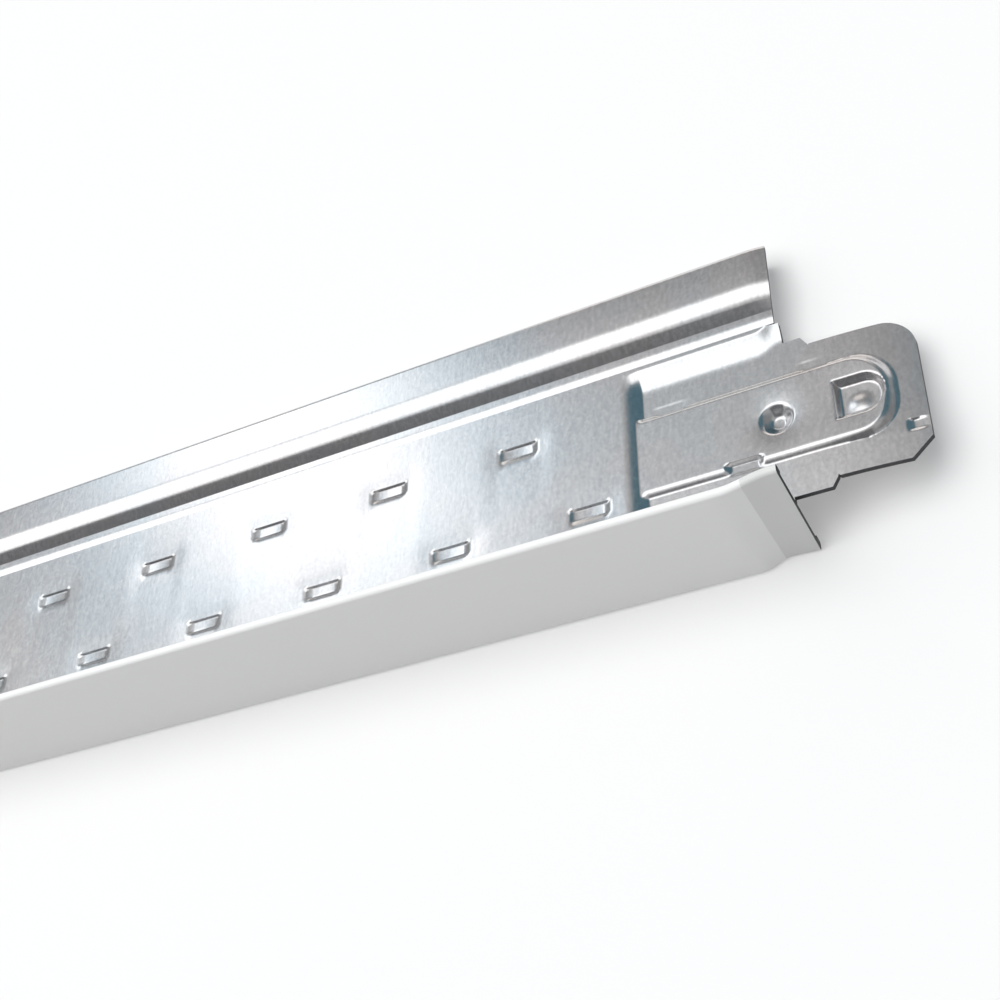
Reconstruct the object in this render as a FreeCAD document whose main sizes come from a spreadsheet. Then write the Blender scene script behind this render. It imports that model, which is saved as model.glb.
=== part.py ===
import FreeCAD, Part
import math
import os
import Sketcher

# Exposed-grid ceiling cross tee, 600 mm module, 15 mm face, 32 mm high.
# A galvanised strip is folded into flange, double web and hollow bulb, and a white
# painted strip is wrapped over the flange and hemmed over its two edges.
# The bodies are drawn with X along the tee, Z up from the exposed face and Y across it,
# and their placement lays the finished tee on its side, as it lies on a floor.

doc = FreeCAD.newDocument("CeilingCrossTee")

# Driving dimensions, in millimetres
sizes = {
    "moduleLength": 600.0,      # grid spacing, centre to centre of the main tees
    "faceWidth": 15.0,          # exposed width of the face
    "teeHeight": 32.0,          # exposed face to the top of the bulb
    "capSheet": 0.3,            # painted face strip
    "bodySheet": 0.3,           # galvanised strip, one ply
    "hemWidth": 1.5,            # return of the painted strip over the flange edge
    "hemClearance": 0.03,       # play between the flange edge and the hem
    "bendRadius": 0.5,          # inside bend between web and flange
    "bulbWidth": 3.9,
    "bulbRoot": 24.6,           # height at which the two plies open into the bulb
    "bulbShoulder": 25.9,       # height at which the sloped underside meets the bulb wall
    "shoulderRadius": 2.2,
    "bulbTopRadius": 0.7,
    "bulbBend": 1.3,            # inside bend where the web runs into the bulb
    "bulbShear": 1.0,           # how much shorter the far wall of the bulb is sheared at each end
    "stripReach": 4.2,          # raised end of the flange that laps over the main tee
    "joggleRun": 2.1,           # length of the step in the flange
    "joggleRise": 1.0,          # height of the step
    "clipReach": 12.5,          # clip tip beyond the flange end
    "clipBottom": 3.95,
    "clipTop": 19.65,
    "clipCornerRadius": 3.25,
    "clipLowerRadius": 2.5,
    "tabBottom": 2.95,           # deeper root of the clip, next to the flange end
    "tabTop": 20.65,
    "topTabReach": 1.75,
    "bottomTabReach": 2.95,
    "tabSlope": 0.65,
    "panelDepth": 0.8,         # offset of the clip panel, so two clips pass in one slot
    "panelReach": 17.1,         # start of the panel, back from the flange end
    "panelTop": 22.6,
    "panelBottom": 1.9,
    "panelSideRamp": 2.0,
    "panelTopRamp": 2.4,
    "panelBottomRamp": 0.5,
    "ribBottom": 7.15,           # raised tongue along the clip
    "ribTop": 16.7,
    "ribReach": 10.25,
    "ribTipRadius": 4.0,
    "ribStart": 15.4,
    "ribRamp": 0.6,
    "ribRise": 0.4,             # height of the tongue over the panel
    "roundDimple": 3.65,         # diameter of the round dimple
    "roundDimpleOffset": 1.45,   # centre, back from the flange end
    "dimpleDepth": 0.6,
    "catchStart": 4.2,          # square-backed catch near the tip
    "catchReach": 9.35,
    "catchHeight": 4.6,
    "catchDepth": 0.6,
    "stitchPitch": 15.9,        # lanced stitches that lock the two plies
    "stitchLength": 4.7,
    "stitchWidth": 1.5,
    "stitchDepth": 0.4,
    "upperStitch": 17.85,       # top edge of the upper row
    "lowerStitch": 8.0,        # top edge of the lower row
    "upperStitchBack": 31.5,    # first stitch of each row, back from the flange end
    "lowerStitchBack": 23.6,
    "tipStitchReach": 8.9,     # last stitch of the lower row, which runs out at the clip's tip
    "formWall": 0.25,           # growth of a pressed form from its near side to its far side
    "hemRound": 0.3,            # outside rounding of the hemmed edge
    "scrapMargin": 5.0,         # how far the cropping cuts reach past the metal
}

sheet = doc.addObject("Spreadsheet::Sheet", "Sizes")
for row, (name, value) in enumerate(sizes.items(), start=1):
    sheet.set(f"A{row}", name)
    sheet.set(f"B{row}", str(value))
    sheet.setAlias(f"B{row}", name)
doc.recompute()


# Expressions that several features share
def named(text):
    """Write the sheet's name before every size in an expression."""
    words = []
    for word in text.replace("(", "( ").replace(")", " )").split():
        words.append(f"Sizes.{word}" if word in sizes else word)
    return " ".join(words)


flange_end = "( ( moduleLength - faceWidth ) / 2 + stripReach )"
joggle_end = f"( {flange_end} - stripReach )"
joggle_start = f"( {joggle_end} - joggleRun )"
joggle_radius = "( ( joggleRun ^ 2 + joggleRise ^ 2 ) / ( 4 * joggleRise ) )"
clip_end = f"( {flange_end} + clipReach )"
flange_top = "( capSheet + bodySheet )"
panel_start = f"( {flange_end} - panelReach )"
rib_start = f"( {flange_end} - ribStart )"


def attach(body, sketch, role, offset=None):
    """Put a sketch on one of its body's own planes, at an offset along the plane's normal."""
    plane = next(item for item in body.Origin.OriginFeatures if item.Role == role)
    sketch.AttachmentSupport = [(plane, "")]
    sketch.MapMode = "FlatFace"
    if offset:
        sketch.setExpression(".AttachmentOffset.Base.z", named(offset))


def place_point(sketch, across, up):
    """Add a construction point whose two coordinates follow expressions."""
    point = sketch.addGeometry(Part.Point(FreeCAD.Vector(1, 1, 0)), True)
    for kind, expression in (("DistanceX", across), ("DistanceY", up)):
        index = sketch.addConstraint(Sketcher.Constraint(kind, point, 1, 1.0))
        sketch.setExpression(f"Constraints[{index}]", named(expression))
    return point


def draw_outline(sketch, corners):
    """Close an outline through its corners. A corner may carry an arc to the next one.

    The arc is given by its centre and by the way it turns, 1 for counterclockwise."""
    points = [place_point(sketch, corner[0], corner[1]) for corner in corners]
    centres = [place_point(sketch, *corner[2]) if len(corner) > 2 else None for corner in corners]
    sketch.recompute()
    for index, corner in enumerate(corners):
        first = points[index]
        last = points[(index + 1) % len(points)]
        start = sketch.getPoint(first, 1)
        end = sketch.getPoint(last, 1)
        if centres[index] is None:
            line = sketch.addGeometry(Part.LineSegment(start, end), False)
            sketch.addConstraint(Sketcher.Constraint("Coincident", line, 1, first, 1))
            sketch.addConstraint(Sketcher.Constraint("Coincident", line, 2, last, 1))
            continue
        if corner[3] < 0:
            first, last = last, first
            start, end = end, start
        centre = sketch.getPoint(centres[index], 1)
        spoke = start - centre
        circle = Part.Circle(centre, FreeCAD.Vector(0, 0, 1), spoke.Length)
        start_angle = math.atan2(spoke.y, spoke.x)
        end_angle = math.atan2(end.y - centre.y, end.x - centre.x)
        if end_angle < start_angle:
            end_angle += 2 * math.pi
        arc = sketch.addGeometry(Part.ArcOfCircle(circle, start_angle, end_angle), False)
        sketch.addConstraint(Sketcher.Constraint("Coincident", arc, 1, first, 1))
        sketch.addConstraint(Sketcher.Constraint("Coincident", arc, 2, last, 1))
        sketch.addConstraint(Sketcher.Constraint("Vertical", arc, 3, centres[index], 1))


def new_sketch(body, name, role, outlines, offset=None):
    sketch = body.newObject("Sketcher::SketchObject", name)
    attach(body, sketch, role, offset)
    for corners in outlines:
        draw_outline(sketch, corners)
    doc.recompute()
    return sketch


def extrude(body, kind, name, sketch, length, side="One side", reverse=False):
    """Pad or pocket a sketch over a length given by an expression."""
    feature = body.newObject(f"PartDesign::{kind}", name)
    feature.Profile = sketch
    feature.SideType = side
    feature.Reversed = reverse
    feature.setExpression("Length", named(length))
    doc.recompute()
    return feature


def loft(body, kind, name, first, last):
    feature = body.newObject(f"PartDesign::{kind}Loft", name)
    feature.Profile = first
    feature.Sections = [last]
    feature.Ruled = True
    doc.recompute()
    return feature


def fillet_edges(body, name, radius, wanted):
    """Round the long edges that the test picks from the edges' middle points."""
    base = body.Tip
    edges = []
    for index, edge in enumerate(base.Shape.Edges, start=1):
        middle = edge.CenterOfMass
        if wanted(edge, middle):
            edges.append(f"Edge{index}")
    feature = body.newObject("PartDesign::Fillet", name)
    feature.Base = (base, edges)
    feature.setExpression("Radius", named(radius))
    doc.recompute()
    return feature


def rectangle(left, right, bottom, top):
    return [(left, bottom), (right, bottom), (right, top), (left, top)]


def joggled_band(low, high):
    """Side view of a strip along the whole flange that steps up at both ends."""
    def rise_corners(sign, height):
        middle = f"( {joggle_start} + joggleRun / 2 )"
        return [
            (f"{sign} {joggle_start}", height,
             (f"{sign} {joggle_start}", f"{height} + {joggle_radius}")),
            (f"{sign} {middle}", f"{height} + joggleRise / 2",
             (f"{sign} {joggle_end}", f"{height} + joggleRise - {joggle_radius}")),
            (f"{sign} {joggle_end}", f"{height} + joggleRise"),
            (f"{sign} {flange_end}", f"{height} + joggleRise"),
        ]

    def with_turns(corners, turns):
        turned = []
        for corner, turn in zip(corners, turns):
            turned.append(corner + (turn,) if len(corner) > 2 else corner)
        return turned

    def backwards(corners):
        start, middle, top, end = corners
        return [end, top + middle[2:], middle[:2] + start[2:], start[:2]]

    lower = with_turns(rise_corners("", low), (1, -1, 0, 0))
    upper = with_turns(backwards(rise_corners("", high)), (0, 1, -1, 0))
    upper_far = with_turns(rise_corners("-1 *", high), (-1, 1, 0, 0))
    lower_far = with_turns(backwards(rise_corners("-1 *", low)), (0, -1, 1, 0))
    return lower + upper + upper_far + lower_far


# Galvanised body: flange, double web, bulb and the clips at both ends
tee = doc.addObject("PartDesign::Body", "TeeBody")
tee.Label = "tee_body"

half_bulb = "bulbWidth / 2"
bulb_outside = [
    ("-1 * bodySheet", flange_top),
    ("bodySheet", flange_top),
    ("bodySheet", "bulbRoot"),
    (half_bulb, "bulbShoulder"),
    (half_bulb, "teeHeight"),
    (f"-1 * {half_bulb}", "teeHeight"),
    (f"-1 * {half_bulb}", "bulbShoulder"),
    ("-1 * bodySheet", "bulbRoot"),
]
# The underside slopes at this angle, and the inner faces lie one ply inside the outer ones
slope = f"atan( ( bulbShoulder - bulbRoot ) / ( {half_bulb} - bodySheet ) )"
inner_apex = f"bulbRoot - bodySheet * tan( {slope} ) + bodySheet / cos( {slope} )"
inner_wall = f"( {half_bulb} - bodySheet )"
inner_shoulder = f"{inner_apex} + {inner_wall} * tan( {slope} )"
bulb_inside = [
    ("0", inner_apex),
    (inner_wall, inner_shoulder),
    (inner_wall, "teeHeight - bodySheet"),
    (f"-1 * {inner_wall}", "teeHeight - bodySheet"),
    (f"-1 * {inner_wall}", inner_shoulder),
]
section = new_sketch(tee, "WebAndBulbSection", "YZ_Plane", [bulb_outside, bulb_inside])
extrude(tee, "Pad", "WebAndBulb", section, f"2 * {clip_end}", side="Symmetric")

bulb_half_width = sizes["bulbWidth"] / 2
inner_half_width = bulb_half_width - sizes["bodySheet"]
close = 0.01


def runs_lengthways(edge):
    return abs(abs(edge.tangentAt(edge.FirstParameter).x) - 1) < close


def near(value, target):
    return abs(value - target) < close


fillet_edges(
    tee, "BulbShoulders", "shoulderRadius",
    lambda edge, middle: runs_lengthways(edge) and near(abs(middle.y), bulb_half_width)
    and near(middle.z, sizes["bulbShoulder"]))
fillet_edges(
    tee, "BulbTopCorners", "bulbTopRadius",
    lambda edge, middle: runs_lengthways(edge) and near(abs(middle.y), bulb_half_width)
    and near(middle.z, sizes["teeHeight"]))
fillet_edges(
    tee, "BulbInnerCorners", "bulbTopRadius - bodySheet",
    lambda edge, middle: runs_lengthways(edge) and near(abs(middle.y), inner_half_width)
    and near(middle.z, sizes["teeHeight"] - sizes["bodySheet"]))
fillet_edges(
    tee, "BulbInnerShoulders", "shoulderRadius - bodySheet",
    lambda edge, middle: runs_lengthways(edge) and near(abs(middle.y), inner_half_width)
    and middle.z < sizes["teeHeight"] - 2 * sizes["bodySheet"])

# The straight flange is bent out of the web first, and its raised ends are pressed after that
half_flange = "( faceWidth / 2 - capSheet - hemClearance )"
straight = new_sketch(
    tee, "FlangeSection", "YZ_Plane",
    [rectangle(f"-1 * {half_flange}", half_flange, "capSheet", flange_top)])
extrude(tee, "Pad", "StraightFlange", straight, f"2 * {joggle_start}", side="Symmetric")
flange_top_height = sizes["capSheet"] + sizes["bodySheet"]
for name, radius, height in (("FlangeBends", "bendRadius", flange_top_height),
                             ("BulbRoots", "bulbBend", sizes["bulbRoot"])):
    fillet_edges(
        tee, name, radius,
        lambda edge, middle: runs_lengthways(edge) and near(abs(middle.y), sizes["bodySheet"])
        and near(middle.z, height) and abs(middle.x) < sizes["moduleLength"] / 4)
band = new_sketch(tee, "FlangeSide", "XZ_Plane", [joggled_band("capSheet", flange_top)])
extrude(tee, "Pad", "Flange", band, f"2 * {half_flange}", side="Symmetric")

# Stamped end: the panel is set back, a tongue is raised along it and the waste is cropped.
# The far end is the same end, turned half a turn about the tee's upright axis.
scrap_end = f"( {clip_end} + scrapMargin )"
near_face = "bodySheet"
far_face = "-1 * bodySheet"
near_panel = "bodySheet - panelDepth"
far_panel = "-1 * ( bodySheet + panelDepth )"
near_rib = "bodySheet - panelDepth + ribRise"
far_rib = "-1 * ( bodySheet + panelDepth ) + ribRise"


def at_both_ends(feature):
    """Repeat a feature of the shown end at the far end."""
    pattern = tee.newObject("PartDesign::PolarPattern", f"{feature.Name}Ends")
    pattern.Originals = [feature]
    upright = next(item for item in tee.Origin.OriginFeatures if item.Role == "Z_Axis")
    pattern.Axis = (upright, [""])
    pattern.Angle = 360
    pattern.Occurrences = 2
    tee.Tip = pattern
    doc.recompute()


def panel_outline(side_ramp, bottom_ramp, top_ramp):
    return rectangle(f"{panel_start} + {side_ramp}", scrap_end,
                     f"panelBottom + {bottom_ramp}", f"panelTop - {top_ramp}")


def rib_outline(inset):
    """The tongue's outline: a long rectangle with two rounded corners at its tip."""
    bottom = f"ribBottom + {inset}"
    top = f"ribTop - {inset}"
    left = f"{rib_start} + {inset}"
    tip = f"{flange_end} + ribReach - {inset}"
    round_start = f"{flange_end} + ribReach - ribTipRadius"
    low_centre = "ribBottom + ribTipRadius"
    high_centre = "ribTop - ribTipRadius"
    return [(left, bottom), (round_start, bottom, (round_start, low_centre), 1), (tip, low_centre),
            (tip, high_centre, (round_start, high_centre), 1), (round_start, top), (left, top)]


def catch_outline(growth):
    middle = "( ribBottom + ribTop ) / 2"
    half = "catchHeight / 2"
    left = f"{flange_end} + catchStart - {growth}"
    centre_across = f"{flange_end} + catchReach - {half}"
    bottom = f"{middle} - {half} - {growth}"
    top = f"{middle} + {half} + {growth}"
    return [(left, bottom), (centre_across, bottom, (centre_across, middle), 1),
            (centre_across, top), (left, top)]


def dimple_outline(growth):
    """A round dimple drawn as two half turns."""
    middle = "( ribBottom + ribTop ) / 2"
    across = f"{flange_end} - roundDimpleOffset"
    radius = f"( roundDimple / 2 + {growth} )"
    centre = (across, middle)
    return [(across, f"{middle} - {radius}", centre, 1), (across, f"{middle} + {radius}", centre, 1)]


def stamped_pair(name, wide, narrow, wide_plane, narrow_plane, kind):
    """Loft between a wide outline on one plane and a narrow one on the other."""
    first = new_sketch(tee, f"{name}Wide", "XZ_Plane", [wide], offset=wide_plane)
    last = new_sketch(tee, f"{name}Narrow", "XZ_Plane", [narrow], offset=narrow_plane)
    at_both_ends(loft(tee, kind, name, first, last))


panel_wide = panel_outline("0", "0", "0")
panel_narrow = panel_outline("panelSideRamp", "panelBottomRamp", "panelTopRamp")
rib_wide = rib_outline("0")
rib_narrow = rib_outline("ribRamp")

stamped_pair("PanelBack", panel_wide, panel_narrow, far_face, far_panel, "Additive")
stamped_pair("PanelRecess", panel_wide, panel_narrow, near_face, near_panel, "Subtractive")
stamped_pair("RibFront", rib_wide, rib_narrow, near_panel, near_rib, "Additive")
stamped_pair("RibHollow", rib_wide, rib_narrow, far_panel, far_rib, "Subtractive")

for name, outline, depth in (("Dimple", dimple_outline, "dimpleDepth"),
                             ("Catch", catch_outline, "catchDepth")):
    back = new_sketch(tee, f"{name}Back", "XZ_Plane", [outline("formWall")], offset=far_rib)
    front = new_sketch(tee, f"{name}Front", "XZ_Plane", [outline("0")], offset=near_rib)
    at_both_ends(extrude(tee, "Pad", f"{name}Raise", back, depth, reverse=True))
    at_both_ends(extrude(tee, "Pocket", f"{name}Press", front, depth))

# The last stitch of the lower row lies on the panel beside the rib
def tip_stitch_outline(growth):
    return rectangle(f"{flange_end} + tipStitchReach - {growth}", scrap_end,
                     f"lowerStitch - stitchWidth - {growth}", f"lowerStitch + {growth}")


tip_back = new_sketch(tee, "TipStitchBack", "XZ_Plane", [tip_stitch_outline("formWall")],
                      offset=far_panel)
tip_front = new_sketch(tee, "TipStitchFront", "XZ_Plane", [tip_stitch_outline("0")],
                       offset=near_panel)
at_both_ends(extrude(tee, "Pad", "TipStitchRaise", tip_back, "stitchDepth", reverse=True))
at_both_ends(extrude(tee, "Pocket", "TipStitchPress", tip_front, "stitchDepth"))

# Waste round the clip, cut off through bulb, web and flange
top_slope_end = f"{flange_end} + topTabReach + tabSlope"
bottom_slope_end = f"{flange_end} + bottomTabReach + tabSlope"
corner_across = f"{clip_end} - clipCornerRadius"
corner_up = "clipTop - clipCornerRadius"
lower_across = f"{clip_end} - clipLowerRadius"
lower_up = "clipBottom + clipLowerRadius"
crop_outline = [
    (flange_end, "tabBottom"),
    (f"{flange_end} + bottomTabReach", "tabBottom"),
    (bottom_slope_end, "clipBottom"),
    (lower_across, "clipBottom", (lower_across, lower_up), 1),
    (clip_end, lower_up),
    (clip_end, corner_up, (corner_across, corner_up), 1),
    (corner_across, "clipTop"),
    (top_slope_end, "clipTop"),
    (f"{flange_end} + topTabReach", "tabTop"),
    (flange_end, "tabTop"),
    (flange_end, "teeHeight + scrapMargin"),
    (scrap_end, "teeHeight + scrapMargin"),
    (scrap_end, "-1 * scrapMargin"),
    (flange_end, "-1 * scrapMargin"),
]
crop = new_sketch(tee, "CropOutline", "XZ_Plane", [crop_outline])
at_both_ends(extrude(tee, "Pocket", "Crop", crop, "2 * faceWidth", side="Symmetric"))

# The shear leaves the bulb's end slanted, with its far wall the shorter one
shear_outline = [
    (f"{flange_end} + bulbShear / 2", "-1 * bulbWidth"),
    (scrap_end, "-1 * bulbWidth"),
    (scrap_end, "bulbWidth"),
    (f"{flange_end} - 3 * bulbShear / 2", "bulbWidth"),
]
shear = new_sketch(tee, "BulbShear", "XY_Plane", [shear_outline], offset="teeHeight")
at_both_ends(extrude(tee, "Pocket", "BulbEnd", shear, "teeHeight - bulbRoot"))

# The web's foot is cleared away below the raised end of the flange
middle_of_joggle = f"( {joggle_start} + joggleRun / 2 )"
relief_outline = [
    (joggle_start, "-1 * scrapMargin"),
    (flange_end, "-1 * scrapMargin"),
    (flange_end, "capSheet + joggleRise"),
    (joggle_end, "capSheet + joggleRise",
     (joggle_end, f"capSheet + joggleRise - {joggle_radius}"), 1),
    (middle_of_joggle, "capSheet + joggleRise / 2",
     (joggle_start, f"capSheet + {joggle_radius}"), -1),
    (joggle_start, "capSheet"),
]
relief = new_sketch(tee, "JoggleRelief", "XZ_Plane", [relief_outline])
at_both_ends(extrude(tee, "Pocket", "FootRelief", relief, "2 * faceWidth", side="Symmetric"))

# Lanced stitches: two rows of short pockets, pressed through to the far side
def stitch_row(name, back, top):
    """Pocket one stitch, raise it on the far side and repeat both along the web."""
    first = f"( {flange_end} - {back} )"
    left, right = first, f"{first} + stitchLength"
    bottom = f"{top} - stitchWidth"
    near_side = new_sketch(
        tee, f"{name}Pocket", "XZ_Plane",
        [rectangle(left, right, bottom, top)], offset="bodySheet")
    far_side = new_sketch(
        tee, f"{name}Bump", "XZ_Plane",
        [rectangle(f"{left} - formWall", f"{right} + formWall",
                   f"{bottom} - formWall", f"{top} + formWall")],
        offset="-1 * bodySheet")
    bump = extrude(tee, "Pad", f"{name}Raise", far_side, "stitchDepth", reverse=True)
    pocket = extrude(tee, "Pocket", f"{name}Press", near_side, "stitchDepth")
    pattern = tee.newObject("PartDesign::LinearPattern", f"{name}Row")
    pattern.Originals = [bump, pocket]
    pattern.Direction = (near_side, ["H_Axis"])
    pattern.Reversed = True
    pattern.Mode = "Spacing"
    pattern.setExpression("Offset", named("stitchPitch"))
    reach = f"( {first} + {panel_start} - stitchLength / 2 )"
    pattern.setExpression("Occurrences", named(f"floor( {reach} / stitchPitch ) + 1"))
    tee.Tip = pattern
    doc.recompute()


stitch_row("UpperStitch", "upperStitchBack", "upperStitch")
stitch_row("LowerStitch", "lowerStitchBack", "lowerStitch")

# Painted face strip: a joggled band, hollowed to leave the face and the two hems
cap = doc.addObject("PartDesign::Body", "FaceCap")
cap.Label = "face_cap"
hem_low = "( capSheet + bodySheet + hemClearance )"
hem_high = "( 2 * capSheet + bodySheet + hemClearance )"
cap_side = new_sketch(cap, "CapSide", "XZ_Plane", [joggled_band("0", hem_high)])
extrude(cap, "Pad", "CapBlank", cap_side, "faceWidth", side="Symmetric")
slot_side = new_sketch(cap, "SlotSide", "XZ_Plane", [joggled_band("capSheet", hem_low)])
extrude(cap, "Pocket", "FlangeSlot", slot_side, "faceWidth - 2 * capSheet", side="Symmetric")
mouth_side = new_sketch(cap, "MouthSide", "XZ_Plane",
                        [joggled_band("capSheet", f"{hem_high} + scrapMargin")])
extrude(cap, "Pocket", "HemMouth", mouth_side, "faceWidth - 2 * hemWidth", side="Symmetric")
half_face = sizes["faceWidth"] / 2
fillet_edges(
    cap, "HemRounds", "hemRound",
    lambda edge, middle: near(abs(middle.y), half_face)
    and abs(edge.Vertexes[0].X - edge.Vertexes[-1].X) > close)


# The finished tee lies on its side, on the far hem of the flange and the far side of the bulb
def lying_placement():
    hem_round = sizes["hemRound"]
    bulb_round = sizes["bulbTopRadius"]
    hem_top = 2 * sizes["capSheet"] + sizes["bodySheet"] + sizes["hemClearance"]
    across = (sizes["faceWidth"] - sizes["bulbWidth"]) / 2 - hem_round + bulb_round
    along = sizes["teeHeight"] - bulb_round - hem_top + hem_round
    lean = math.atan2(across, along)
    lean += math.asin((hem_round - bulb_round) / math.hypot(across, along))
    rotation = FreeCAD.Rotation(FreeCAD.Vector(1, 0, 0), -90 - math.degrees(lean))
    turned = FreeCAD.Placement(FreeCAD.Vector(), rotation)
    box = FreeCAD.BoundBox()
    for body in (tee, cap):
        shape = body.Shape.copy()
        shape.Placement = turned
        box.add(shape.optimalBoundingBox(False))
    return FreeCAD.Placement(FreeCAD.Vector(0, -box.Center.y, -box.ZMin), rotation)


resting = lying_placement()
tee.Placement = resting
cap.Placement = resting
doc.recompute()

for item in doc.Objects:
    if "Invalid" in item.State or "Error" in item.State:
        raise RuntimeError(f"{item.Name} failed: {item.State}")
for body in (tee, cap):
    if body.Shape.isNull() or not body.Shape.isValid():
        raise RuntimeError(f"{body.Label} has no valid shape")

os.makedirs("parts", exist_ok=True)
for body in (tee, cap):
    body.Shape.exportStep(os.path.join("parts", f"{body.Label}.step"))
    box = body.Shape.BoundBox
    print(body.Label, "solids", len(body.Shape.Solids), "faces", len(body.Shape.Faces),
          "volume", round(body.Shape.Volume, 1), "box", box)
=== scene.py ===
import bpy
import bmesh
import math
from mathutils import Matrix, Vector


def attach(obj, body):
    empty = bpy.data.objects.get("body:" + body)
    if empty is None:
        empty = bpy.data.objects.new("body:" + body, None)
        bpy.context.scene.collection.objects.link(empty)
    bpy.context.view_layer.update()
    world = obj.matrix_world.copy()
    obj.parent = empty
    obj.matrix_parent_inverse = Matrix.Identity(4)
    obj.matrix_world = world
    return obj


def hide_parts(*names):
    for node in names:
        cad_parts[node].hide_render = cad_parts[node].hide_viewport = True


# Ceiling grid cross tee. Pieces are drawn in millimetres with X along the tee, Y across it
# and Z up from the painted face, then laid down on the floor by layDown.

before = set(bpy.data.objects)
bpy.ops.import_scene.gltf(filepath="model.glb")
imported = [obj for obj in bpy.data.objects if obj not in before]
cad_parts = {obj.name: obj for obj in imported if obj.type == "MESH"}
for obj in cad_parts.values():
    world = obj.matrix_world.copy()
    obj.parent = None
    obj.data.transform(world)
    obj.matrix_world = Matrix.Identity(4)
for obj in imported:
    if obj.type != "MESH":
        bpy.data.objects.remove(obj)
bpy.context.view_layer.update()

resting = {"lean": 10.24544, "across": -15.2194, "up": 7.67513}  # how the tee lies, deg and mm
tee = {"flangeEnd": 296.7, "web": 0.3, "sheet": 0.3, "face": 15.0, "height": 32.0,
       "raisedFrom": 289.2, "spare": 1.0}

# The press raises the flange end along a line a little askew; its two edges rise differently
joggle = {"crease": 3.675, "askew": 0.07, "nearStart": 5.8, "nearRun": 5.0, "nearEnd": 0.72,
          "farStart": 6.0, "farRun": 2.9, "farTop": 0.87, "farEnd": 0.76, "fallStart": 3.0, "fallRun": 2.7,
          "sheared": 0.25, "cutRun": 7.8, "cuts": 26}

layDown = (Matrix.Scale(0.001, 4)
           @ Matrix.Translation((0, resting["across"], resting["up"]))
           @ Matrix.Rotation(math.radians(-90 - resting["lean"]), 4, "X"))
halfTurn = Matrix.Rotation(math.pi, 4, "Z")


def smooth(t):
    t = min(max(t, 0.0), 1.0)
    return t * t * (3 - 2 * t)


def backFromEnd(x, y):
    # Distance back from the sheared flange end, which stands a little askew
    return tee["flangeEnd"] - abs(x) - joggle["askew"] * y * math.copysign(1, x)


def rise(x, y):
    # Height of the raised flange end at a place on the tee
    back = backFromEnd(x, y)
    near = joggle["nearEnd"] * smooth((joggle["nearStart"] - back) / joggle["nearRun"])
    fall = smooth((joggle["fallStart"] - back) / joggle["fallRun"])
    top = joggle["farTop"] - (joggle["farTop"] - joggle["farEnd"]) * fall
    far = top * smooth((joggle["farStart"] - back) / joggle["farRun"])
    share = 0.5 - y * math.copysign(1, x) / tee["face"]
    return near * share + far * (1 - share)


# Materials

def newGroup(name, inputs, outputs):
    group = bpy.data.node_groups.new(name, "ShaderNodeTree")
    for label, kind, value in inputs:
        socket = group.interface.new_socket(label, in_out="INPUT", socket_type=kind)
        if value is not None:
            socket.default_value = value
    for label, kind in outputs:
        group.interface.new_socket(label, in_out="OUTPUT", socket_type=kind)
    return group, group.nodes.new("NodeGroupInput"), group.nodes.new("NodeGroupOutput")


def addNode(tree, kind, settings=None, values=None):
    node = tree.nodes.new(kind)
    for key, value in (settings or {}).items():
        setattr(node, key, value)
    for key, value in (values or {}).items():
        node.inputs[key].default_value = value
    return node


def millStreakGroup():
    # Fine streaks across the strip and a soft grain, as tone and height
    group, take, give = newGroup(
        "millStreaks",
        [("Vector", "NodeSocketVector", None), ("Along", "NodeSocketFloat", 2600.0),
         ("Across", "NodeSocketFloat", 160.0), ("Grain", "NodeSocketFloat", 2200.0)],
        [("Tone", "NodeSocketFloat"), ("Height", "NodeSocketFloat")])
    links = group.links
    stretch = addNode(group, "ShaderNodeCombineXYZ")
    links.new(take.outputs["Along"], stretch.inputs["X"])
    links.new(take.outputs["Across"], stretch.inputs["Y"])
    links.new(take.outputs["Across"], stretch.inputs["Z"])
    scaled = addNode(group, "ShaderNodeVectorMath", {"operation": "MULTIPLY"})
    links.new(take.outputs["Vector"], scaled.inputs[0])
    links.new(stretch.outputs["Vector"], scaled.inputs[1])
    streaks = addNode(group, "ShaderNodeTexNoise", {}, {"Scale": 1.0, "Detail": 3.0, "Roughness": 0.6})
    links.new(scaled.outputs["Vector"], streaks.inputs["Vector"])
    grain = addNode(group, "ShaderNodeTexNoise", {}, {"Detail": 4.0, "Roughness": 0.65})
    links.new(take.outputs["Vector"], grain.inputs["Vector"])
    links.new(take.outputs["Grain"], grain.inputs["Scale"])
    both = addNode(group, "ShaderNodeMath", {"operation": "ADD"})
    links.new(streaks.outputs["Fac"], both.inputs[0])
    links.new(grain.outputs["Fac"], both.inputs[1])
    half = addNode(group, "ShaderNodeMath", {"operation": "MULTIPLY"}, {1: 0.5})
    links.new(both.outputs["Value"], half.inputs[0])
    links.new(half.outputs["Value"], give.inputs["Tone"])
    links.new(both.outputs["Value"], give.inputs["Height"])
    return group


millStreaks = millStreakGroup()

galvanised = {"dark": (0.555, 0.56, 0.565, 1), "light": (0.69, 0.69, 0.69, 1),
              "blue": (0.56, 0.66, 0.76, 1), "pink": (0.74, 0.64, 0.66, 1), "tint": 0.14, "patches": 75.0,
              "roughLow": 0.16, "roughHigh": 0.26, "bump": 0.07,
              "toneRange": {"From Min": 0.35, "From Max": 0.65},
              "tintRange": {"From Min": 0.42, "From Max": 0.6},
              "streaks": {"Along": 2600.0, "Across": 900.0, "Grain": 2600.0}}
bumpDistance = 0.00005  # metres, for the steel and the paint


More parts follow.
